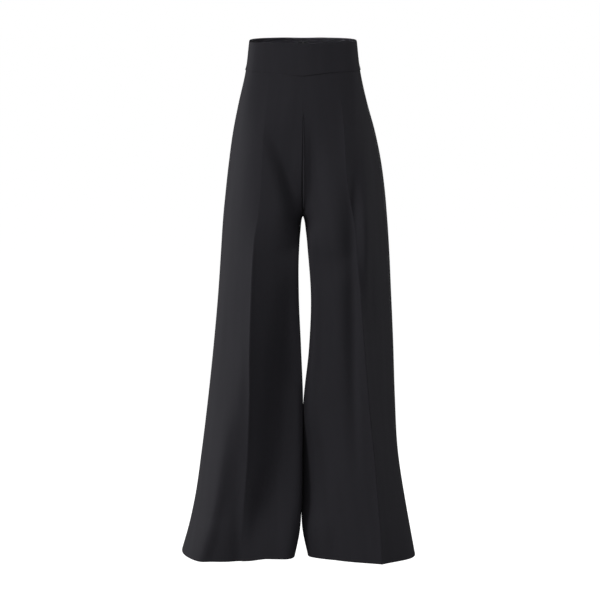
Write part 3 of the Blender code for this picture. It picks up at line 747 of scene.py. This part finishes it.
def band_face(leg, q_from, q_to):
    """Points of the band's outer face between two arc positions, top edge to waist seam. Towards
    the sides its lower edge stands out: a Gaussian of the height times a smooth step of q."""
    q = q_from + (q_to - q_from) * eased(BAND_COLUMNS)[None, :] + np.zeros((BAND_ROWS, 1))
    t = np.linspace(0, 1, BAND_ROWS)[:, None]
    z = (top_height(q) - BAND_DEPTH / 2) * (1 - t) + seam_height(q) * t
    x, y = section(leg, q, z)
    near = np.clip(1 - np.abs(q - 2) / BAND_LIP_SHARE, 0, 1)
    lip = np.exp(-((z - seam_height(q)) / BAND_LIP_DEPTH) ** 2) * smooth(near)
    return place(leg, x + BAND_LIP * lip, y, z)


def band_grid(points):
    """The band's grid and its seams' painted shadow: its face carried over the rounded top edge and
    down inside as the facing."""
    waist_depth, waist_painted_shade = waist_seam(points[-1])
    side_depth, side_painted_shade = BAND_SIDE_SEAM
    for edge, inside in ((0, 1), (-1, -2)):
        points = drawn_in(points, edge, inside, side_depth)
    points = drawn_in(points.swapaxes(0, 1), -1, -2, waist_depth).swapaxes(0, 1)
    normals = outward(points)
    sideways = points.swapaxes(0, 1), normals.swapaxes(0, 1)
    top = rolled(*sideways, 0, 1, BAND_DEPTH / 2, math.pi).swapaxes(0, 1)[::-1]
    bottom = rolled(*sideways, -1, -2, waist_depth, math.pi / 2).swapaxes(0, 1)
    facing = (points - normals * BAND_DEPTH)[::-1]
    grid = np.concatenate([facing, top, points, bottom])
    inside = slice(len(facing) + len(top))
    whole, waist_painted_shade = side_edges(grid, inside, (side_depth, side_depth), waist_painted_shade)
    return whole, seam_shadow(whole, side_painted_shade, side_painted_shade, bottom=waist_painted_shade)


left_half = band_face("left", 0, 2)
right_half = band_face("right", 0, 2)
left_half[:, 0, 0] = 0
band_faces = {
    "waistband_front": np.concatenate([right_half[:, :0:-1], left_half], axis=1),
    "waistband_back_left": band_face("left", 2, 4),
    "waistband_back_right": band_face("right", 2, 4)[:, ::-1],
}
for node, points in band_faces.items():
    grid, shadow = band_grid(points)
    band = cloth_object(f"cloth_{node}", grid, crepe, shadow)
    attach(band, TROUSERS)
    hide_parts(node)


# -----------------------------------------------------------------------------------------
# Zip. A concealed zip in the centre back: two woven tapes sewn inside the seam, each with a
# coil of black nylon along its edge. From outside only the slider's crown and its pull tab
# show, in black enamelled metal.

ZIP_TOP = 0.0345
ZIP_END = -0.200
TAPE_EDGE = 0.0002
TAPE_WIDTH = 0.011
TAPE_WALL = 0.0005
TAPE_COLUMNS = 14
TAPE_ROWS = 120
COIL_MIDDLE = 0.0010
COIL_RADIUS = 0.0007
COIL_WAVE = 0.00022
COIL_PITCH = 0.0014
COIL_SIDES = 8
COIL_RINGS_A_TURN = 6

# How far under the cloth's outer face the tape lies, at the band and at the panel, and the
# height over which it steps from one to the other
TAPE_BEHIND_BAND = 0.0046
TAPE_BEHIND_PANEL = 0.0034
TAPE_STEP = 0.012

# The width of cloth from the centre back to where a leg's last arc begins, near the waist
BACK_ARC_WIDTH = 0.085

TAPE_COLOUR = (0.012, 0.012, 0.014, 1.0)
TAPE_ROUGHNESS = 0.8
TAPE_THREAD = 0.0004
TAPE_CONTRAST = 0.15
TAPE_BUMP = 0.0001
NYLON_COLOUR = (0.014, 0.014, 0.015, 1.0)
NYLON_ROUGHNESS = 0.45
ENAMEL_COLOUR = (0.012, 0.012, 0.013, 1.0)
ENAMEL_METALLIC = 0.3
ENAMEL_ROUGHNESS = 0.38
SPECKLES_A_METRE = 2400.0
SPECKLE_SMOOTHER = 0.08
SPECKLE_ROUGHER = 0.10
SPECKLE_BUMP_STRENGTH = 0.2
SPECKLE_BUMP = 0.00003


def behind_centre_back(leg, x, z):
    """Points inside the centre back, x out from its middle: the cloth's own surface there, moved
    forward by the band's wall, or by the panel's below a smooth step at the waist seam."""
    q = 4 - x / BACK_ARC_WIDTH
    deep = np.clip((BAND_SEAM_SIDE - BAND_SEAM_BACK_DIP - z) / TAPE_STEP, 0, 1)
    away = TAPE_BEHIND_BAND + (TAPE_BEHIND_PANEL - TAPE_BEHIND_BAND) * smooth(deep)
    return place(leg, x + 0 * z, section(leg, q, z)[1] - away, z)


def zip_tape(leg):
    """The grid of a tape: from the coil outwards, top to bottom."""
    x = np.linspace(TAPE_EDGE, TAPE_WIDTH, TAPE_COLUMNS)[None, :]
    z = np.linspace(ZIP_TOP, ZIP_END, TAPE_ROWS)[:, None]
    grid = behind_centre_back(leg, x, z)
    return grid if leg == "right" else grid[:, ::-1]


def zip_coil(leg):
    """The coil: a tube down the tape's edge, whose radius swells by a cosine once for every turn
    of nylon."""
    turns = int((ZIP_TOP - ZIP_END) / COIL_PITCH)
    z = np.linspace(ZIP_TOP - COIL_RADIUS, ZIP_END, turns * COIL_RINGS_A_TURN)[:, None]
    turn = np.linspace(0, 2 * math.pi, COIL_SIDES + 1)[None, :-1]
    radius = COIL_RADIUS + COIL_WAVE * np.cos(2 * math.pi * z / COIL_PITCH)
    middle = behind_centre_back(leg, np.full((1, COIL_SIDES), COIL_MIDDLE), z)
    sideways = radius * np.cos(turn)
    backwards = radius * np.sin(turn) - COIL_RADIUS
    return middle + np.stack([sideways, backwards, 0 * sideways], axis=-1)


def tube_object(name, rings, finish):
    """A closed tube through rings of points, with a flat face at each end."""
    count, sides = rings.shape[:2]
    index = np.arange(count * sides).reshape(count, sides)
    near = np.roll(index, -1, axis=1)
    quads = np.stack([index[:-1], near[:-1], near[1:], index[1:]], axis=-1).reshape(-1, 4)
    faces = quads[:, ::-1].tolist() + [index[0].tolist(), index[-1][::-1].tolist()]
    return added(name, smooth_mesh(name, rings, faces, finish))


def speckle_group():
    """Fine mottling: Speckle is noise between 0 and 1."""
    tree, start, end = new_group("satin_speckle", (
        ("Place", "INPUT", "Vector"),
        ("Speckle", "OUTPUT", "Float"),
    ))
    noise = add_node(tree, "ShaderNodeTexNoise", Scale=SPECKLES_A_METRE, Detail=2.0)
    tree.links.new(start.outputs["Place"], noise.inputs["Vector"])
    tree.links.new(noise.outputs["Fac"], end.inputs["Speckle"])
    return tree


satin_speckle = speckle_group()


def satin_finish(name, colour, metallic, roughness):
    """A satin finish, mottled very slightly by the speckle."""
    finish, tree, shader = new_finish(name)
    shader.inputs["Base Color"].default_value = colour
    shader.inputs["Metallic"].default_value = metallic
    where = add_node(tree, "ShaderNodeTexCoord")
    speckle = place_group(tree, satin_speckle, where.outputs["Object"]).outputs["Speckle"]
    rough_and_bumpy(tree, shader, speckle, roughness - SPECKLE_SMOOTHER, roughness + SPECKLE_ROUGHER,
                    speckle, SPECKLE_BUMP_STRENGTH, SPECKLE_BUMP)
    return finish


enamel = satin_finish("zip_enamel", ENAMEL_COLOUR, ENAMEL_METALLIC, ENAMEL_ROUGHNESS)
for node in ("zip_slider", "zip_pull"):
    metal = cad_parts[node]
    metal.data.materials.clear()
    metal.data.materials.append(enamel)

tape_weave = woven_finish("zip_tape_weave", TAPE_COLOUR, TAPE_ROUGHNESS, TAPE_THREAD, TAPE_CONTRAST,
                          TAPE_BUMP)
nylon = satin_finish("zip_nylon", NYLON_COLOUR, 0.0, NYLON_ROUGHNESS)
for leg in ("left", "right"):
    tape = cloth_object(f"zip_tape_{leg}", zip_tape(leg), tape_weave, wall=TAPE_WALL)
    coil = tube_object(f"zip_coil_{leg}", zip_coil(leg), nylon)
    for piece in (tape, coil):
        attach(piece, TROUSERS)


# -----------------------------------------------------------------------------------------
# Studio: a pale floor below the hem in a white surround. Softboxes stand at the key place, the
# side and the rim on the wearer's right, two in front, a rim light on the left, one above and
# one behind, and a gridded one shines down the inside of the waist.

FLOOR_DROP = 0.30
FLOOR_RADIUS = 60.0
FLOOR_SIDES = 96
FLOOR_COLOUR = (0.3, 0.3, 0.3, 1.0)
FLOOR_ROUGHNESS = 0.9
WHITE = (1.0, 1.0, 1.0, 1.0)
STAND_OFF = 2.5
AIM = (0.0, 0.0, -0.55)

# Softboxes round the trousers: name, degrees from the front towards the wearer's left, height,
# the box's width and height, and watts
LIGHTS = (
    ("key", -60, 0.9, 0.6, 0.8, 27.0),
    ("side", -76, -0.4, 0.6, 1.4, 10.3),
    ("rim", -110, -0.25, 0.6, 1.2, 26.0),
    ("front", 0, -0.78, 0.6, 1.2, 12.5),
    ("front_high", 0, 0.50, 0.6, 0.6, 7.0),
    ("far_rim", 100, 0.25, 0.6, 1.8, 21.5),
)

# Place, the box's width and height, and watts; the waist's has its own aim, and a spread in degrees
TOP_LIGHT = ((0.0, -0.8, 2.0), 2.0, 1.2, 11.0)
BACK_LIGHT = ((0.3, 2.6, -0.4), 1.6, 1.2, 14.0)
WAIST_LIGHT = ((0.03, -0.50, 0.28), (0.0, 0.085, 0.036), 0.24, 0.03, 0.020, 10)
CAMERA_PLACE = (-0.0066, -5.0, 0.165)
CAMERA_AIM = (-0.0066, 0.0, -0.54)
LENS = 135.0
SENSOR = 36.0


def pointing(place_at, aim):
    """The turn that points a light or camera at a place."""
    return (Vector(aim) - Vector(place_at)).to_track_quat("-Z", "Y").to_euler()


def soft_light(name, where, aim, width, height, power, spread=180):
    """One softbox, unseen by the camera, whose grid narrows its beam to a spread in degrees."""
    lamp = bpy.data.lights.new(name, "AREA")
    lamp.shape = "RECTANGLE"
    lamp.size = width
    lamp.size_y = height
    lamp.energy = power
    lamp.spread = math.radians(spread)
    holder = added(name, lamp)
    holder.location = where
    holder.rotation_euler = pointing(where, aim)
    holder.visible_camera = False


for name, azimuth, height, wide, high, power in LIGHTS:
    angle = math.radians(azimuth)
    where = (STAND_OFF * math.sin(angle), -STAND_OFF * math.cos(angle), height)
    soft_light(name, where, AIM, wide, high, power)
soft_light("top", TOP_LIGHT[0], AIM, *TOP_LIGHT[1:])
soft_light("back", BACK_LIGHT[0], AIM, *BACK_LIGHT[1:])
soft_light("waist", *WAIST_LIGHT)


def floor():
    """A wide round floor that shines to the camera alone, so that it meets the white surround."""
    angles = np.linspace(0, 2 * math.pi, FLOOR_SIDES, endpoint=False)
    ring = np.stack([np.cos(angles), np.sin(angles), 0 * angles], axis=1) * FLOOR_RADIUS
    mesh = bpy.data.meshes.new("floor")
    mesh.from_pydata(ring.tolist(), [], [list(range(len(ring)))])
    mesh.transform(Matrix.Translation((0, 0, HEM - FLOOR_DROP)))
    finish, tree, shader = new_finish("pale_floor")
    shader.inputs["Base Color"].default_value = FLOOR_COLOUR
    shader.inputs["Roughness"].default_value = FLOOR_ROUGHNESS
    shader.inputs["Emission Color"].default_value = WHITE
    seen = add_node(tree, "ShaderNodeLightPath")
    tree.links.new(seen.outputs["Is Camera Ray"], shader.inputs["Emission Strength"])
    mesh.materials.append(finish)
    return added("floor", mesh)


floor()

surround = bpy.data.worlds.new("surround")
bpy.context.scene.world = surround
surround.use_nodes = True
sky = surround.node_tree
glow = sky.nodes["Background"]
glow.inputs["Color"].default_value = WHITE
seen = add_node(sky, "ShaderNodeLightPath")
sky.links.new(seen.outputs["Is Camera Ray"], glow.inputs["Strength"])
bpy.context.scene.view_settings.view_transform = "Standard"

lens = bpy.data.cameras.new("camera")
lens.lens = LENS
lens.sensor_width = SENSOR
camera = added("camera", lens)
camera.location = CAMERA_PLACE
camera.rotation_euler = pointing(CAMERA_PLACE, CAMERA_AIM)
bpy.context.scene.camera = camera
